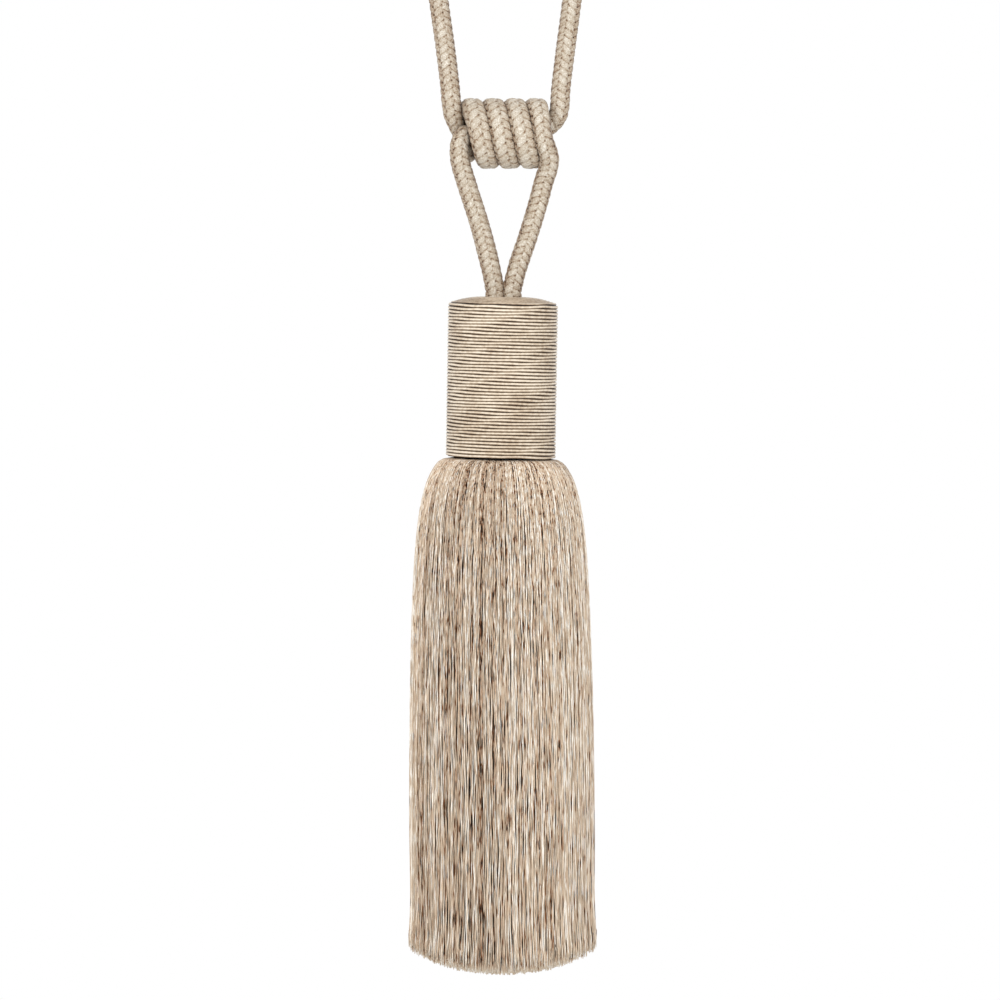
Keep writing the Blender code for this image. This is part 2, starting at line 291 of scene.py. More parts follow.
from_axis = line[:, :3] - np.array((0.0, 0.0, KNOT_HEIGHT))
from_axis[:, 0] = 0.0
on_radius = np.abs(np.hypot(from_axis[:, 1], from_axis[:, 2]) - WRAP_RADIUS) < TURN_BAND
in_turns = on_radius & (np.abs(line[:, 0]) < TURNS_REACH)
front = np.tile(VIEWER, (len(line), 1))
front[in_turns] = from_axis[in_turns]
front = across(tangent, front)
angle = np.arctan2((front * other).sum(axis=1), (front * side).sum(axis=1))
heights = line[:, 2]
on_leg = (heights > KNOT_HEIGHT + LEG_ABOVE) | (heights < KNOT_HEIGHT - LEG_BELOW)
known = np.flatnonzero(on_leg | (in_turns & (line[:, 1] < FRONT_DEPTH)))
angle = np.interp(spots, spots[known], np.unwrap(angle[known]))
angle = smoothed(angle, ANGLE_WIDTH, mode="edge")
sideways = np.cross(tangent, turned(angle))
# The second half of the rope runs downwards, so it is turned by a column for its chevrons to point up.
top_start = spots[np.argmax(heights > -ARCH_DEPTH)]
top_end = spots[len(heights) - 1 - np.argmax(heights[::-1] > -ARCH_DEPTH)]
angle += math.tau / COLUMNS * np.clip((spots - top_start) / (top_end - top_start), 0.0, 1.0)
shares, degrees = np.transpose(FRONT_TURNED)
angle += np.radians(np.interp(spots / ROPE_LENGTH, shares, degrees))
facing = turned(angle)
print(f"most twist: {np.degrees(np.abs(np.diff(angle)).max()) / (ROPE_STEP / MM):.1f} degrees a mm")

# %% [markdown]
# The braid's sizes are read from the photograph: how long a float is, how far it climbs across its
# column, and how deep the grooves round it are. They also say how finely the tube is divided, with
# enough points across each float for it to swell.

# %% The braid's sizes
FLOAT_PITCH = 3.4 * MM        # along the rope, from one float to the next
FLOAT_RISE = 2.3 * MM         # how far a float climbs across its column
POINTS_ACROSS = 8             # of a column
RINGS_A_FLOAT = 8
GROOVE = 0.46 * MM            # how deep the grooves between floats are
GROOVE_SHARPNESS = 4.2        # the higher, the narrower the groove
GROOVE_LOST = 0.35            # how much shallower a groove is where a float dives
DIVE = 0.28 * MM              # how far a float's ends dip under the next column
DIVE_SHARPNESS = 4.0          # the higher, the shorter the end that dips
FULLNESS = 0.20 * MM          # how far the crests stand out of the plain tube
FUZZ = 0.055 * MM             # the yarn's own roughness

rope_rings = int(round(ROPE_LENGTH / FLOAT_PITCH * RINGS_A_FLOAT))
rope_sides = COLUMNS * POINTS_ACROSS
print(f"braid: {rope_rings} rings of {rope_sides} points")

# %% [markdown]
# The tube starts as a flat grid, which is rolled up later. On the grid, every vertex knows which
# float it belongs to and where on it, and from that follow two things: the relief, a height over the
# plain tube, and the crest value, which will choose between pale crests and brown valleys, where the
# brown is painted shade.

# %% The braid's relief
GROOVE_SHADE = 0.24           # how much darker a groove is in the middle of its column
CORNER_SHADE = 0.52           # how much darker still at the column's edges, where three floats meet
DIVE_SHADE = 0.12             # how much darker a diving end is


def grid_mesh(rows, columns):
    """A flat grid of rows by columns cells, with each vertex's row and column number."""
    bm = bmesh.new()
    bmesh.ops.create_grid(bm, x_segments=rows, y_segments=columns, size=1.0)
    flat = np.array([v.co[:2] for v in bm.verts])
    row = np.rint((flat[:, 0] + 1.0) / 2.0 * rows).astype(int)
    column = np.rint((flat[:, 1] + 1.0) / 2.0 * columns).astype(int)
    return bm, row, column


bm, ring, point = grid_mesh(rope_rings, rope_sides)
turn_share = point / rope_sides
in_column = turn_share * COLUMNS
column = np.floor(in_column).astype(int) % COLUMNS
share = in_column - np.floor(in_column)
from_middle = np.abs(2.0 * share - 1.0)
float_number = ring / RINGS_A_FLOAT + 0.5 * (column % 2)
in_float = float_number - np.floor(float_number)
groove = np.abs(2.0 * in_float - 1.0) ** GROOVE_SHARPNESS
dip = from_middle ** DIVE_SHARPNESS
relief = -GROOVE * groove * (1.0 - GROOVE_LOST * dip) - DIVE * dip
# The crest value is painted shade: darker in the grooves, most at their corners, and at diving ends.
crest = 1.0 - groove * (GROOVE_SHADE + CORNER_SHADE * from_middle ** 2.0) - DIVE_SHADE * dip
roughness = np.random.default_rng(4).normal(0.0, FUZZ, (rope_rings + 1, rope_sides))
relief += FULLNESS + roughness[ring, point % rope_sides]
tones = np.random.default_rng(3).uniform(0.0, 1.0, (rope_rings, COLUMNS))
tone = tones[np.floor(float_number).astype(int) % rope_rings, column]
print(f"braid's relief: from {relief.min() / MM:.2f} to {relief.max() / MM:.2f} mm")

# %% [markdown]
# Now each ring is set across the route, and its points slide along the rope in a zigzag, which makes
# the chevrons. Where the knot's turns press on each other, the rope is a little wider and squarer.
# Its two ends, side by side at the head, are a little wider too. The same measures say where painted
# shade goes: on the rope's sides, and darkest where turns touch.

# %% The braid's places
PRESSED = 0.12                # how much wider the knot's turns are, pressed against each other
SQUARED = 0.13                # how much the pressed turns fill their corners
PRESS_WIDTH = 31              # steps over which the pressing fades in and out
END_PRESSED = 12.0 * MM       # the length of each end that is pressed against the other
TOUCHING_REACH = 15.0 * MM    # the turns touch each other within this distance of the knot's middle
TOUCHING_SHADE = 1.6          # how much painted shade darkens the yarn where turns touch
TOUCHING_SHARPNESS = 12       # the higher, the narrower that dark line
MERGE_DISTANCE = 0.002 * MM   # points closer than this become one


def at(numbers, where):
    """Looks a table of values along the rope up at the given distances."""
    return np.column_stack([np.interp(where, spots, numbers[:, k]) for k in range(numbers.shape[1])])


def rolled(bm, places, uv_along, uv_round, values=()):
    """Puts the grid's vertices in their places, gives it its UV map and values, and closes it."""
    for vert, place in zip(bm.verts, places):
        vert.co = place
    layer = bm.loops.layers.uv.new("yarn")
    bm.verts.index_update()
    for face in bm.faces:
        for loop in face.loops:
            index = loop.vert.index
            loop[layer].uv = (uv_round[index], uv_along[index])
    for name, numbers in values:
        store = bm.verts.layers.float.new(name)
        for vert, number in zip(bm.verts, numbers):
            vert[store] = number
    bmesh.ops.remove_doubles(bm, verts=bm.verts, dist=MERGE_DISTANCE)
    bmesh.ops.holes_fill(bm, edges=[e for e in bm.edges if e.is_boundary], sides=0)


zigzag = np.where(column % 2 == 0, share, 1.0 - share)
plain = ring / rope_rings * ROPE_LENGTH
from_end = np.clip(np.minimum(plain, ROPE_LENGTH - plain) / (2 * FLOAT_PITCH), 0.0, 1.0)
where = plain - FLOAT_RISE * (zigzag - 0.5) * from_end
centre = at(line, where)
ahead = at(tangent, where)
ahead /= np.linalg.norm(ahead, axis=1)[:, None]
first_side = across(ahead, at(facing, where))
second_side = np.cross(ahead, first_side)
size = ROPE_DIAMETER / 2 * centre[:, 3] + relief
round_angle = (turn_share * math.tau)[:, None]
towards = first_side * np.cos(round_angle) + second_side * np.sin(round_angle)
aside = across(ahead, at(sideways, where))
side_share = (towards * aside).sum(axis=1)
pressed = smoothed(in_turns.astype(float), PRESS_WIDTH)
at_end = np.clip(2.0 - 2.0 * np.minimum(spots, ROPE_LENGTH - spots) / END_PRESSED, 0.0, 1.0)
size *= 1.0 + SQUARED * np.interp(where, spots, pressed) * 4 * side_share ** 2 * (1 - side_share ** 2)
widened = PRESSED * np.interp(where, spots, pressed + at_end) * side_share
places = centre[:, :3] + size[:, None] * (towards + aside * widened[:, None])
# Painted shade: the rope's sides are darker than its front and back, and darkest where turns touch.
touching = np.interp(where, spots, pressed) * (np.abs(places[:, 0]) < TOUCHING_REACH)
rope_painted_shade = side_share ** 2 + TOUCHING_SHADE * side_share ** TOUCHING_SHARPNESS * touching
rolled(bm, places, float_number, turn_share, (("crest", crest), ("tone", tone), ("rope_painted_shade", rope_painted_shade)))
rope = finished_object("braided_rope", bm)
print(f"rope: {len(rope.data.polygons)} faces, {rope_rings} rings")

# %% [markdown]
# The rope starts inside the head and comes back to it.

# %% [markdown]
# The head is a turned mould, wound from the middle of its domed top outwards, over the rim and down
# the side, with one fine cord. Rings stacked on each other would be simpler, but a real winding is a
# spiral: each turn sinks a little on its way round and comes back one cord lower. First comes the
# outline that the spiral follows, in the head's own upright frame.

# %% The head's outline
HEAD_TOP = -167.2 * MM
HEAD_X = 0.5 * MM
HEAD_RADIUS = 24.4 * MM
HEAD_HEIGHT = 71.6 * MM
HEAD_LEAN = math.radians(0.9)
SEAT_RADIUS = 9.5 * MM        # the flat middle of the top, where the rope goes in
DOME_DROP = 2.2 * MM          # from there to the rim
DOME_STEPS = 8
RIM_RADIUS = 2.2 * MM
FOOT_RADIUS = 1.2 * MM


def arc(centre_radius, centre_height, size, start, end, steps=12):
    """Points on an arc from one angle to another, in degrees."""
    points = []
    for step in range(steps + 1):
        angle = math.radians(start + (end - start) * step / steps)
        points.append((centre_radius + size * math.cos(angle), centre_height + size * math.sin(angle)))
    return points


def head_outline(inset):
    """The head's half outline from its top's middle to its foot, moved inwards by inset."""
    outline = [(0.0, -inset), (SEAT_RADIUS, -inset)]
    for step in range(1, DOME_STEPS):
        part = step / DOME_STEPS
        radius = SEAT_RADIUS + (HEAD_RADIUS - RIM_RADIUS - SEAT_RADIUS) * part
        outline.append((radius, -inset - DOME_DROP * part ** 2))
    outline += arc(HEAD_RADIUS - RIM_RADIUS, -DOME_DROP - RIM_RADIUS, RIM_RADIUS - inset, 90, 0)
    foot_size = max(FOOT_RADIUS - inset, 0.1 * MM)
    outline += arc(HEAD_RADIUS - inset - foot_size, -HEAD_HEIGHT + inset + foot_size, foot_size, 0, -90, 4)
    return np.array(outline)


def leaned(places):
    """Tilts the head's own places and sets them where the head stands."""
    x, y, z = places.T
    return np.column_stack([HEAD_X + x * math.cos(HEAD_LEAN) + z * math.sin(HEAD_LEAN), y,
                            HEAD_TOP - x * math.sin(HEAD_LEAN) + z * math.cos(HEAD_LEAN)])


print(f"head's outline: {len(head_outline(0.0))} points")

# %% [markdown]
# The cord is swept along the spiral. The distance down the outline grows evenly with the turns, and
# five slow waves push the turns about, because no hand winds them quite even. The waves don't fit a
# whole number of times into a turn, so bundles of turns drift slantwise round the head.

# %% Wind the head
CORD_RADIUS = 0.68 * MM
CORD_PITCH = 1.467 * MM
CORD_SIDES = 8
CORD_FLATNESS = 1.02          # the cord is a little wider along the outline than it is deep
FIRST_TURN = 0.9              # the spiral starts this many pitches from the top's middle
STEPS_A_TURN = 88
SLOPE_STEP = 0.3 * MM         # over which the outline's slope is measured
DOME_PAINTED_SHADE = 0.055            # how much painted shade dulls the cord on the dome, its top
FREE_SIDE = 0.8               # the colour value of the last turn's underside, where the painted shade is lighter
UV_A_TURN = 60.0              # the UV map's length for each turn of cord
WANDER = (
    # waves a turn, how far they push the cord in millimetres
    (3.12, 0.085), (5.17, 0.075), (2.08, 0.05), (7.23, 0.06), (11.31, 0.035),
)
rng = np.random.default_rng(11)

outline = head_outline(CORD_RADIUS)
outline_length = lengths_along(outline)
turns = int((outline_length[-1] - CORD_PITCH) / CORD_PITCH)
bm, step, corner = grid_mesh(turns * STEPS_A_TURN, CORD_SIDES)
turn_number = step / STEPS_A_TURN
wander = np.zeros(len(turn_number))
for pace, reach in WANDER:
    wander += reach * MM * np.sin(math.tau * (pace * turn_number + rng.uniform()))
on_outline = CORD_PITCH * (FIRST_TURN + turn_number) + wander
radius = np.interp(on_outline, outline_length, outline[:, 0])
height = np.interp(on_outline, outline_length, outline[:, 1])
slope_r = np.interp(on_outline + SLOPE_STEP, outline_length, outline[:, 0]) - radius
slope_z = np.interp(on_outline + SLOPE_STEP, outline_length, outline[:, 1]) - height
slope = np.hypot(slope_r, slope_z) + 1e-12
slope_r, slope_z = slope_r / slope, slope_z / slope
spin = corner / CORD_SIDES * math.tau
out = CORD_RADIUS * np.cos(spin)
down = CORD_RADIUS * CORD_FLATNESS * np.sin(spin)
r = radius + down * slope_r - out * slope_z
z = height + down * slope_z + out * slope_r
turned_by = math.tau * turn_number
places = leaned(np.column_stack([r * np.cos(turned_by), r * np.sin(turned_by), z]))
# The crest value is painted shade: black on the cord's inner side, between turns.
outwardness = 0.5 + 0.5 * np.cos(spin) - DOME_PAINTED_SHADE * slope_r ** 2
# Below the last turn no other turn lies, so the painted shade on its underside is lighter: brown instead of
# black.
free_below = np.clip(turn_number - turns + 1.0, 0.0, 1.0) * (np.sin(spin) > 0.0)
outwardness = np.maximum(outwardness, FREE_SIDE * free_below)
rolled(bm, places, turn_number * UV_A_TURN, corner / CORD_SIDES, (("crest", outwardness),))
winding = finished_object("head_winding", bm)
print(f"winding: {turns} turns, {len(winding.data.polygons)} faces")

# %% [markdown]
# Behind the cord is the mould itself, stained dark. Only slivers of it show between turns, but
# without it light would come through the gaps.

# %% The mould
MOULD_INSET = 0.9 * MM
bm = bmesh.new()
verts = [bm.verts.new((radius, 0.0, height)) for radius, height in head_outline(MOULD_INSET)]
verts.append(bm.verts.new((0.0, 0.0, -HEAD_HEIGHT + MOULD_INSET)))
edges = [bm.edges.new(pair) for pair in zip(verts, verts[1:])]
bmesh.ops.spin(bm, geom=verts + edges, axis=(0.0, 0.0, 1.0), cent=(0.0, 0.0, 0.0),
               steps=72, angle=math.tau, use_merge=True)
bmesh.ops.remove_doubles(bm, verts=bm.verts, dist=MERGE_DISTANCE)
for vert, place in zip(bm.verts, leaned(np.array([v.co for v in bm.verts]))):
    vert.co = place
mould = finished_object("head_mould", bm)
print(f"mould: {len(mould.data.polygons)} faces")

# %% [markdown]
# The fringe is thousands of threads. They come out sideways from under the head, turn over a rounded
# shoulder and hang down. All of them follow one outline, scaled inwards for the inner ones, and
# those end a little lower, so the fringe's end is a shallow crown.

# %% The fringe's outline
FOOT = np.array((HEAD_X - HEAD_HEIGHT * math.sin(HEAD_LEAN), 0.0,
                 HEAD_TOP - HEAD_HEIGHT * math.cos(HEAD_LEAN)))
RIM_DROP = 215.0 * MM         # from the head's foot to the outer threads' ends
CROWN = 12.0 * MM             # how much lower the innermost threads end
DRIFT = 0.0042                # how much the fringe hangs to the right
SHOULDER_DEPTH = 18.0 * MM    # below the head's foot, where the shoulder is over
LAYER_DROP = 14.0 * MM        # how much lower the innermost threads' shoulders are
CROWDING = 1.5                # the higher, the closer a thread's points are over the shoulder
TIP = 4.0 * MM                # the pale end of a thread
FRINGE_OUTLINE = (
    # depth below the head's foot, radius
    (-0.2, 21.0), (0.1, 24.0), (0.8, 26.4), (2.4, 28.4), (5.3, 30.4), (9.0, 32.3), (18.0, 35.0), (36.0, 37.5),
    (63.0, 39.2), (105.0, 40.5), (165.0, 41.1), (196.0, 40.9), (216.0, 41.8), (232.0, 41.8),
)
outer = smooth_curve([(radius * MM, depth * MM, 0.0) for depth, radius in FRINGE_OUTLINE], 12)


def fringe_radius(depth):
    """The fringe's radius at a depth below the head's foot."""
    return np.interp(depth, outer[:, 1], outer[:, 0])


def thread_profile(share, points, root_radius, root_depth):
    """Radius and depth at points down a thread, closer together over the shoulder."""
    end_radius = share * fringe_radius(RIM_DROP)
    end = RIM_DROP + CROWN * (1.0 - share ** 3)
    depth = np.linspace(0.0, 1.0, points) ** CROWDING
    low = -0.1 * MM + (1.0 - share) * LAYER_DROP
    depth = low + (end - low) * depth
    depth = np.insert(depth, -1, end - TIP)
    radius = share * fringe_radius(depth - (1.0 - share) * LAYER_DROP)
    radius[-2:] = end_radius
    radius = np.concatenate([[root_radius], radius])
    depth = np.concatenate([[root_depth], depth])
    return radius, depth


print("fringe's foot at", FOOT.round(4))

# %% [markdown]
# A layer is a ring of threads, each with an angle round the tassel. No thread hangs quite straight.
# Waves shared by all threads draw neighbours together into loose locks with dark gaps between them.
# Wobbles of its own make each thread stray a little as well. All of it grows from nothing at the
# roots to its full size below the shoulder, where the threads hang free.

# %% Lay out a layer of threads
LOCKS = 14                    # how many waves gather the threads into locks
COARSEST = 60                 # the fewest times that such a wave repeats round the fringe
FINEST = 190                  # a wave repeats fewer times than this
MOST_SLANT = 12.0             # how much a wave slants, in radians for each 100 mm down
LOCK_REACH = 0.025            # how far a wave pushes, as a share of its own length
FRINGE_RADIUS = 41.0          # in millimetres, for that length
PLACE_JITTER = 0.3            # of the distance between threads
FREE_FROM = 4.0 * MM          # depth at which threads begin to come free
FREE_OVER = 30.0 * MM         # how much deeper they hang quite free
LEAST_RADIUS = 4.0 * MM       # threads nearer to the middle turn aside as if they were here
LEAN_FADE = 12.0 * MM         # depth over which the head's lean fades out of the threads
FLAT_CUT = 7.0 * MM           # trimmed lying flat, so the front and back are this much longer than the sides
LONGEST_END = 1.6             # how far an end may stray, as a number of its layer's raggedness
WOBBLES = (
    # reach in millimetres, least and most radians for each 10 mm down
    (0.26, 0.4, 1.2), (0.17, 1.4, 2.8), (0.10, 3.0, 5.5),
)
SWAY = (0.08, 0.3)            # the same measure for the slow sway outwards and back


def lock_waves(rng):
    """Waves round the fringe that push threads together. Each is (waves round, slant, phase, reach)."""
    waves = []
    for _ in range(LOCKS):
        round_count = rng.integers(COARSEST, FINEST)
        slant = rng.uniform(-MOST_SLANT, MOST_SLANT)
        reach = LOCK_REACH * math.tau * FRINGE_RADIUS * MM / round_count
        waves.append((round_count, slant, rng.uniform(0.0, math.tau), reach))
    return waves


def thread_layer(count, share, points, root_radius, root_depth, spread, ragged, rng):
    """Every thread's points, as an array of threads by points by x, y, z."""
    radius, depth = thread_profile(share, points, root_radius, root_depth)
    angle = (np.arange(count) + rng.uniform(-PLACE_JITTER, PLACE_JITTER, count)) / count * math.tau
    free = np.clip((depth - FREE_FROM) / FREE_OVER, 0.0, 1.0)
    strayed = np.zeros((count, len(depth)))
    for round_count, slant, phase, reach in WAVES:
        strayed += reach * np.sin(round_count * angle[:, None] + slant * depth / (100 * MM) + phase)
    for reach, slowest, fastest in WOBBLES:
        pace = rng.uniform(slowest, fastest, (count, 1)) / (10 * MM)
        phase = rng.uniform(0.0, math.tau, (count, 1))
        strayed += reach * MM * np.sin(pace * depth[None, :] + phase)
    pace = rng.uniform(*SWAY, (count, 1)) / (10 * MM)
    outwards = spread * np.sin(pace * depth[None, :] + rng.uniform(0.0, math.tau, (count, 1)))
    outwards += rng.uniform(-spread, 0.0, (count, 1))
    radii = radius[None, :] + outwards * free
    longer = FLAT_CUT / RIM_DROP * np.sin(angle) ** 2 * share ** 4
    depths = depth[None, :] * (1.0 + longer[:, None])
    farthest = LONGEST_END * ragged
    depths[:, -2:] += rng.normal(0.0, ragged, (count, 1)).clip(-farthest, farthest)
    angles = angle[:, None] + strayed * free / np.maximum(radii, LEAST_RADIUS)
    across_head = radii * np.cos(angles)
    drift = DRIFT * np.maximum(depths - SHOULDER_DEPTH, 0.0)
    # The head's foot leans, and the threads' roots follow it.
    raised = -across_head * math.sin(HEAD_LEAN) * np.clip(1.0 - depths / LEAN_FADE, 0.0, 1.0)
    return FOOT + np.stack([across_head + drift, radii * np.sin(angles), raised - depths], axis=-1)


WAVES = lock_waves(np.random.default_rng(5))
print(f"{len(WAVES)} waves gather the locks")

# %% [markdown]
# Each thread is one spline with a thickness, because splines are light to make and to bend. A spline
# that is swept with a three-cornered section is cheap enough for thousands of threads. A whole layer
# becomes one mesh, which keeps four values for the finish: each thread's tone and its angle, each
# point's drop below the head, and whether the point is at a tip.

# %% Turn a layer into a mesh
THREAD_SIDES = 3
ROOT_SIZES = (0.7, 0.75, 0.85)    # a thread's thickness at its first points, where it is sewn in
TIP_SIZE = 0.7

thread_section = bpy.data.curves.new("thread section", "CURVE")
thread_section.dimensions = "2D"
corners = thread_section.splines.new("POLY")
corners.points.add(THREAD_SIDES - 1)
corners.use_cyclic_u = True
for number, corner_point in enumerate(corners.points):
    turn = math.tau * number / THREAD_SIDES
    corner_point.co = (math.cos(turn), math.sin(turn), 0.0, 1.0)
section = bpy.data.objects.new("thread section", thread_section)
bpy.context.scene.collection.objects.link(section)


def threads_object(name, paths, thickness, tones, rng):
    """One mesh of all the threads on the paths, each with a tone of its own between the two given."""
    data = bpy.data.curves.new(name, "CURVE")
    data.dimensions = "3D"
    data.bevel_mode = "OBJECT"
    data.bevel_object = section
    count, points = paths.shape[:2]
    sizes = np.full(points, thickness / 2)
    sizes[:len(ROOT_SIZES)] *= ROOT_SIZES
    sizes[-1] *= TIP_SIZE
    for path in paths:
        spline = data.splines.new("POLY")
        spline.points.add(points - 1)
        spline.points.foreach_set("co", np.column_stack([path, np.ones(points)]).ravel())
        spline.points.foreach_set("radius", sizes)
    curve = bpy.data.objects.new(name + " splines", data)
    bpy.context.scene.collection.objects.link(curve)
    mesh = bpy.data.meshes.new_from_object(curve.evaluated_get(bpy.context.evaluated_depsgraph_get()))
    mesh.name = name
    bpy.data.objects.remove(curve)
    tones = np.repeat(rng.uniform(*tones, count), points * THREAD_SIDES)
    drops = np.repeat((FOOT[2] - paths[:, :, 2]).ravel(), THREAD_SIDES) / (RIM_DROP + CROWN)
    rounds = np.arctan2(paths[:, points // 2, 1], paths[:, points // 2, 0] - FOOT[0]) / math.tau
    rounds = np.repeat(rounds, points * THREAD_SIDES)
    tips = np.tile(np.repeat(np.arange(points) == points - 1, THREAD_SIDES), count).astype(float)
    for title, numbers in (("tone", tones), ("drop", drops), ("tip", tips), ("round", rounds)):
        mesh.attributes.new(title, "FLOAT", "POINT").data.foreach_set("value", numbers)
    bm = bmesh.new()
    bm.from_mesh(mesh)
    bmesh.ops.holes_fill(bm, edges=[e for e in bm.edges if e.is_boundary], sides=0)
    bpy.data.meshes.remove(mesh)
    made = finished_object(name, bm)
    print(f"{name}: {count} threads, {len(made.data.vertices)} vertices, {len(made.data.polygons)} faces")
    return made


print("a thread's section has", len(corners.points), "corners")

# %% [markdown]
# Three layers make the fringe's face. The outer threads are fine and pale, the next ones a little
# darker, and the third ones thicker and brown: their lower tones are painted shade, so the gaps between
# the outer threads read as shadow. Within each layer the tone differs at random.

# %% Make the fringe's layers
LAYERS = (
    # name, threads, share of the outline's radius, points, root radius, root depth, spread, thickness,
    # raggedness of the ends, tones, lower in the deeper layers as painted shade. The lengths are in
    # millimetres.
    ("fringe_outer", 570, 0.995, 52, 19.5, 0.0, 0.28, 0.36, 1.2, (0.5, 1.0)),
    ("fringe_second", 590, 0.983, 50, 19.2, 0.4, 0.30, 0.38, 1.5, (0.3, 0.9)),
    ("fringe_third", 600, 0.968, 36, 18.8, 1.2, 0.34, 0.46, 1.6, (-0.05, 0.42)),
)
fringe = []
for number, (name, count, share, points, root, root_drop, spread, thick, ragged, tones) in enumerate(LAYERS):
    rng = np.random.default_rng(20 + number)
    paths = thread_layer(count, share, points, root * MM, root_drop * MM, spread * MM, ragged * MM, rng)
    fringe.append(threads_object(name, paths, thick * MM, tones, rng))

# %% [markdown]
# Behind them the fringe is full. Rings of plainer threads fill it to the middle, which shows at its
# lower edge and from below. They have few points each, and the innermost are the thickest.

# %% The fringe's inside
INNER_POINTS = 9
INNER_ROOT = 2.0 * MM         # the innermost threads' roots, from the tassel's middle
ROOT_REACH = 16.0 * MM        # how much farther out the outline's own roots would be
ROOT_DEPTH = 6.2 * MM
INNER_SPREAD = 0.35 * MM
INNER_RAGGED = 0.8 * MM


def rings_of_threads(outermost, innermost, rings, round_the_rim, rng):
    """Threads in rings from one share of the outline's radius in to another."""
    paths = []
    for share in np.linspace(outermost, innermost, rings):
        count = max(3, int(share * round_the_rim))
        root = INNER_ROOT + ROOT_REACH * share
        paths.append(thread_layer(count, share, INNER_POINTS, root, ROOT_DEPTH, INNER_SPREAD,
                                  INNER_RAGGED, rng))
    return np.concatenate(paths)


rng = np.random.default_rng(31)
paths = rings_of_threads(0.94, 0.62, 11, 330, rng)
fringe.append(threads_object("fringe_inner", paths, 0.54 * MM, (0.5, 0.95), rng))
paths = rings_of_threads(0.585, 0.03, 14, 215, rng)
fringe.append(threads_object("fringe_core", paths, 1.05 * MM, (0.3, 0.9), rng))

# %% [markdown]
# Under the head all threads are sewn to a heading, a flat round pad. It is hidden by them, and it
# holds them together.

# %% The heading
HEADING_RADIUS = 19.0 * MM
HEADING_HEIGHT = 6.6 * MM
HEADING_DEPTH = 4.0 * MM      # of its middle, below the head's foot
bm = bmesh.new()
bmesh.ops.create_cone(bm, cap_ends=True, segments=48, radius1=HEADING_RADIUS, radius2=HEADING_RADIUS,
                      depth=HEADING_HEIGHT)
bmesh.ops.translate(bm, verts=bm.verts, vec=FOOT - np.array((0.0, 0.0, HEADING_DEPTH)))
heading = finished_object("fringe_heading", bm, smooth=False)
bpy.data.objects.remove(section)
print(f"heading: {len(heading.data.polygons)} faces")

# %% [markdown]
# Every finish here is satin yarn. Its colour lives in three places: brown in the valleys, which is
# painted shade, tan on the flanks, cream on the crests. A value on each mesh says how high a point
# stands or which thread it belongs to, and a colour ramp turns that into yarn. These few helpers
# build the nodes for it.

# %% Helpers for materials


def add(tree, kind, inputs=(), **settings):
    """A node with its settings, whose inputs are given numbers or other nodes' outputs."""
    made = tree.nodes.new(kind)
    for name, value in settings.items():
        setattr(made, name, value)
    for name, value in dict(inputs).items():
        if isinstance(value, bpy.types.NodeSocket):
            tree.links.new(value, made.inputs[name])
        else:
            made.inputs[name].default_value = value
    return made


def ramp(tree, factor, stops):
    """A colour ramp from a list of (place, red, green, blue)."""
    made = add(tree, "ShaderNodeValToRGB", {"Fac": factor})
    while len(made.color_ramp.elements) < len(stops):
        made.color_ramp.elements.new(0.5)
    for element, (place, *colour) in zip(made.color_ramp.elements, stops):
        element.position = place
        element.color = (*colour, 1.0)
    return made.outputs["Color"]


def coloured(tree, shader, factor, stops):
    """Gives the shader its colour from a ramp."""
    tree.links.new(ramp(tree, factor, stops), shader.inputs["Base Color"])


def value_of(tree, name):
    """The number that a mesh holds under this name."""
    return add(tree, "ShaderNodeAttribute", attribute_name=name).outputs["Fac"]


def maths(tree, operation, first, second, clamp=False):
    """The result of one sum on numbers or other nodes' outputs."""
    made = add(tree, "ShaderNodeMath", {0: first, 1: second}, operation=operation, use_clamp=clamp)
    return made.outputs["Value"]


def noise(tree, place, scale, detail):
    """Noise between zero and one, about one half, over a place."""
    return add(tree, "ShaderNodeTexNoise", {"Vector": place, "Scale": scale, "Detail": detail}).outputs["Fac"]


def object_place(tree):
    """Each point's place in its object's own space."""
    return add(tree, "ShaderNodeTexCoord").outputs["Object"]


def swing(tree, value, reach):
    """A value about one half, made into a shift about zero and multiplied by reach."""
    return maths(tree, "MULTIPLY", maths(tree, "SUBTRACT", value, 0.5), reach)


def new_material(name, roughness, sheen, specular=0.35):
    """A material with its node tree and its shader, whose plain numbers are set."""
    material = bpy.data.materials.new(name)
    material.use_nodes = True
    tree = material.node_tree
    shader = tree.nodes["Principled BSDF"]
    shader.inputs["Roughness"].default_value = roughness
    shader.inputs["Sheen Weight"].default_value = sheen
    shader.inputs["Sheen Roughness"].default_value = 0.4
    shader.inputs["Specular IOR Level"].default_value = specular
    return material, tree, shader


print("helpers for materials ready")

# %% [markdown]
# On the rope, the crest value chooses the colour, with painted shade in the grooves, and three smaller
# things shift it: each float's own tone, fine noise for the fibres, and five thread lines on each float.
# Painted shade makes the rope's sides darker than its front, and darkest where turns touch. A slight
# bump repeats the lines and fibres.

# %% The rope's finish
THREAD_LINES = 5              # on each float
BUMP_HEIGHT = 0.08 * MM
braid, tree, shader = new_material("braided satin yarn", 0.55, 0.15)
uv = add(tree, "ShaderNodeUVMap", uv_map="yarn").outputs["UV"]
float_place = add(tree, "ShaderNodeSeparateXYZ", {"Vector": uv}).outputs["Y"]
lines = maths(tree, "SINE", maths(tree, "MULTIPLY", float_place, math.tau * THREAD_LINES), 0.0)
tone_shift = maths(tree, "MULTIPLY", value_of(tree, "tone"), 0.14)
crest_value = maths(tree, "ADD", maths(tree, "MULTIPLY", value_of(tree, "crest"), 0.69), tone_shift)
noise_shift = swing(tree, noise(tree, object_place(tree), 1700.0, 3.0), 1.2)
line_shift = maths(tree, "MULTIPLY", lines, 0.05)
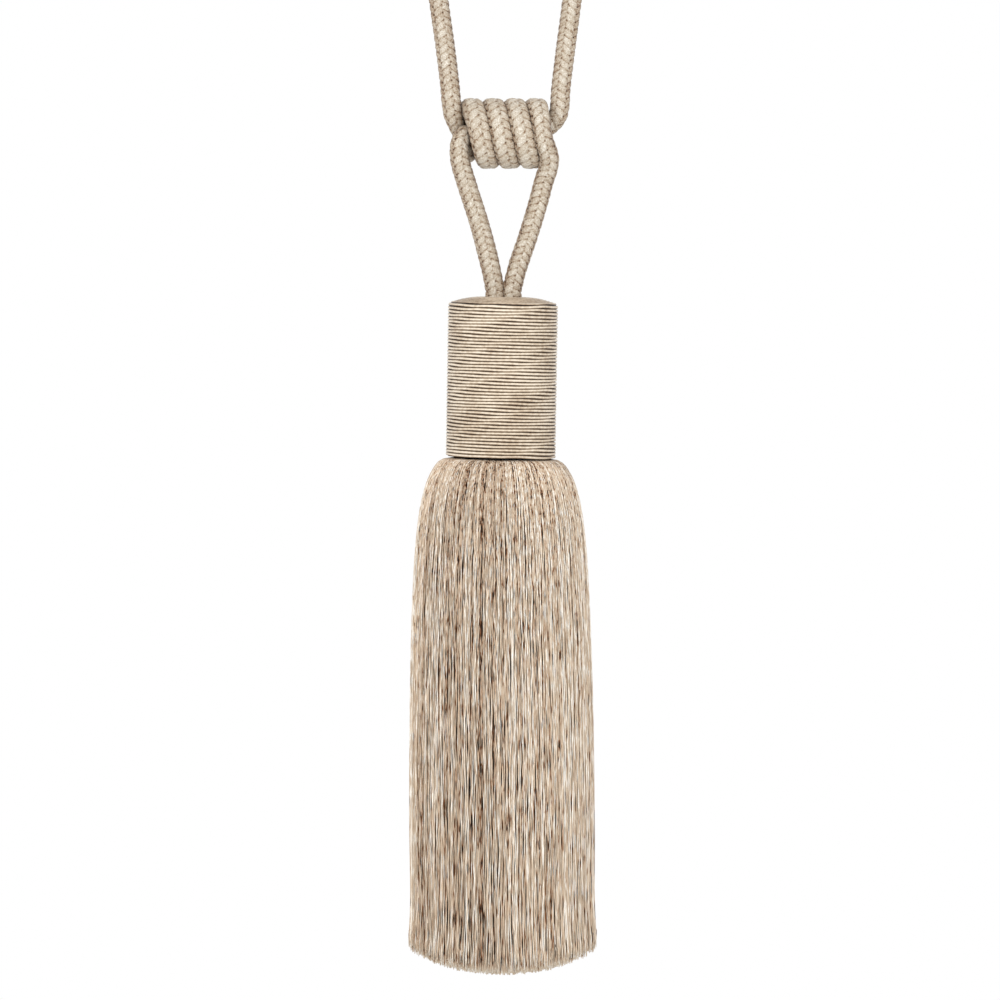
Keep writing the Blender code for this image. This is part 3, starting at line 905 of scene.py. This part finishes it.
# Painted shade on the rope's sides and where turns touch.
painted_side_darkening = maths(tree, "MULTIPLY", value_of(tree, "rope_painted_shade"), -0.28)
shifts = maths(tree, "ADD", noise_shift, maths(tree, "ADD", line_shift, painted_side_darkening))
factor = maths(tree, "ADD", crest_value, shifts, clamp=True)
coloured(tree, shader, factor, (
    # place on the ramp, red, green, blue
    (0.1, 0.028, 0.011, 0.005), (0.35, 0.23, 0.135, 0.075), (0.58, 0.425, 0.35, 0.26),
    (0.8, 0.545, 0.485, 0.40), (1.0, 0.73, 0.69, 0.61),
))
bump = add(tree, "ShaderNodeBump", {"Height": maths(tree, "ADD", lines, noise_shift), "Strength": 0.5,
                                    "Distance": BUMP_HEIGHT})
tree.links.new(bump.outputs["Normal"], shader.inputs["Normal"])
rope.data.materials.append(braid)
print("the rope is finished in", braid.name)

# %% [markdown]
# On the winding, the crest value runs from the cord's inner side to its outer one. The ramp is
# nearly black for more than half of the way, so a dark line of painted shade lies between every two
# turns. Fine and broad noise make the cord uneven. The mould behind it is a stained brown.

# %% The winding's finish
wound, tree, shader = new_material("wound satin cord", 0.42, 0.1)
place = object_place(tree)
both = maths(tree, "ADD", noise(tree, place, 700.0, 3.0), noise(tree, place, 60.0, 2.0))
uneven = maths(tree, "MULTIPLY", both, 0.2)
factor = maths(tree, "ADD", value_of(tree, "crest"), maths(tree, "SUBTRACT", uneven, 0.2), clamp=True)
coloured(tree, shader, factor, (
    (0.5, 0.006, 0.003, 0.0015), (0.72, 0.05, 0.022, 0.009), (0.83, 0.35, 0.25, 0.165),
    (0.92, 0.55, 0.45, 0.33), (1.0, 0.76, 0.67, 0.55),
))
winding.data.materials.append(wound)

stained, tree, shader = new_material("stained mould", 0.8, 0.0)
grain = noise(tree, object_place(tree), 300.0, 2.0)
coloured(tree, shader, grain, ((0.3, 0.05, 0.025, 0.012), (0.7, 0.10, 0.05, 0.025)))
mould.data.materials.append(stained)
print("the head is finished in", wound.name, "and", stained.name)

# %% [markdown]
# On the fringe, each thread's tone is broken into strokes, darker and paler lengths: painted shade and
# painted highlights, like the light on turns of a loose yarn. A fainter noise round the fringe gives
# neighbours some strokes in common, so locks show. Painted shade darkens the roots and shoulder under
# the head, the lower part is very slightly darker, and the tips are paler. The floor gets its plain paint
# here as well.

# %% The fringe's finish
THREAD_SPACING = 997.0        # parts the threads on the noise, so that their strokes differ
ROOTS_END = 0.2               # share of the fringe's height down to which painted shade darkens it
LOW_START = 0.55              # share of it from which it darkens again a little
yarn, tree, shader = new_material("fringe satin yarn", 0.5, 0.0, 0.2)
tone = value_of(tree, "tone")
drop = value_of(tree, "drop")
# The square root makes the strokes short near the roots and longer lower down.
along_thread = add(tree, "ShaderNodeCombineXYZ", {"X": maths(tree, "MULTIPLY", tone, THREAD_SPACING),
                                                  "Y": maths(tree, "POWER", drop, 0.5)})
# The strokes are painted shade and painted highlights along each thread, up to near white.
own_shift = swing(tree, noise(tree, along_thread.outputs["Vector"], 40.0, 2.0), 1.85)
round_and_down = add(tree, "ShaderNodeCombineXYZ", {
    "X": maths(tree, "MULTIPLY", value_of(tree, "round"), 45.0), "Y": drop})
shared_shift = swing(tree, noise(tree, round_and_down.outputs["Vector"], 8.0, 0.0), 0.12)
stroke_shift = maths(tree, "ADD", own_shift, shared_shift)
tip_tone = maths(tree, "ADD", maths(tree, "MULTIPLY", tone, 0.5), 0.56)
tip_least = maths(tree, "MULTIPLY", value_of(tree, "tip"), tip_tone)
roots_painted_shade = maths(tree, "MULTIPLY", maths(tree, "SUBTRACT", ROOTS_END, drop, clamp=True), -0.6)
low_shift = maths(tree, "MULTIPLY", maths(tree, "SUBTRACT", drop, LOW_START, clamp=True), -0.1)
shifts = maths(tree, "ADD", stroke_shift, maths(tree, "ADD", roots_painted_shade, low_shift))
factor = maths(tree, "MAXIMUM", maths(tree, "ADD", tone, shifts, clamp=True), tip_least)
coloured(tree, shader, factor, (
    (0.27, 0.014, 0.005, 0.002), (0.4, 0.27, 0.11, 0.042), (0.49, 0.58, 0.425, 0.295),
    (0.84, 0.75, 0.63, 0.49), (1.0, 1.0, 0.95, 0.87),
))
for piece in fringe + [heading]:
    piece.data.materials.append(yarn)

paint, tree, shader = new_material("pale floor", 0.9, 0.0)
grain = noise(tree, object_place(tree), 40.0, 2.0)
coloured(tree, shader, grain, ((0.0, 0.78, 0.78, 0.77), (1.0, 0.82, 0.82, 0.81)))
floor.data.materials.append(paint)
print("materials:", [m.name for m in bpy.data.materials])

# %% [markdown]
# Last, every piece is tied to the frame: it rides on the root, and the plain solid that it stands
# for is hidden.

# %% Tie the pieces to the frame
for piece, solid, finish in [(rope, "cord", "braided_rope"), (winding, "head", "wound_cord"),
                             (mould, "head", "wound_cord"), (heading, "skirt", "fringe_yarn"),
                             *((layer, "skirt", "fringe_yarn") for layer in fringe)]:
    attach(piece, "root")
    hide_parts(solid)
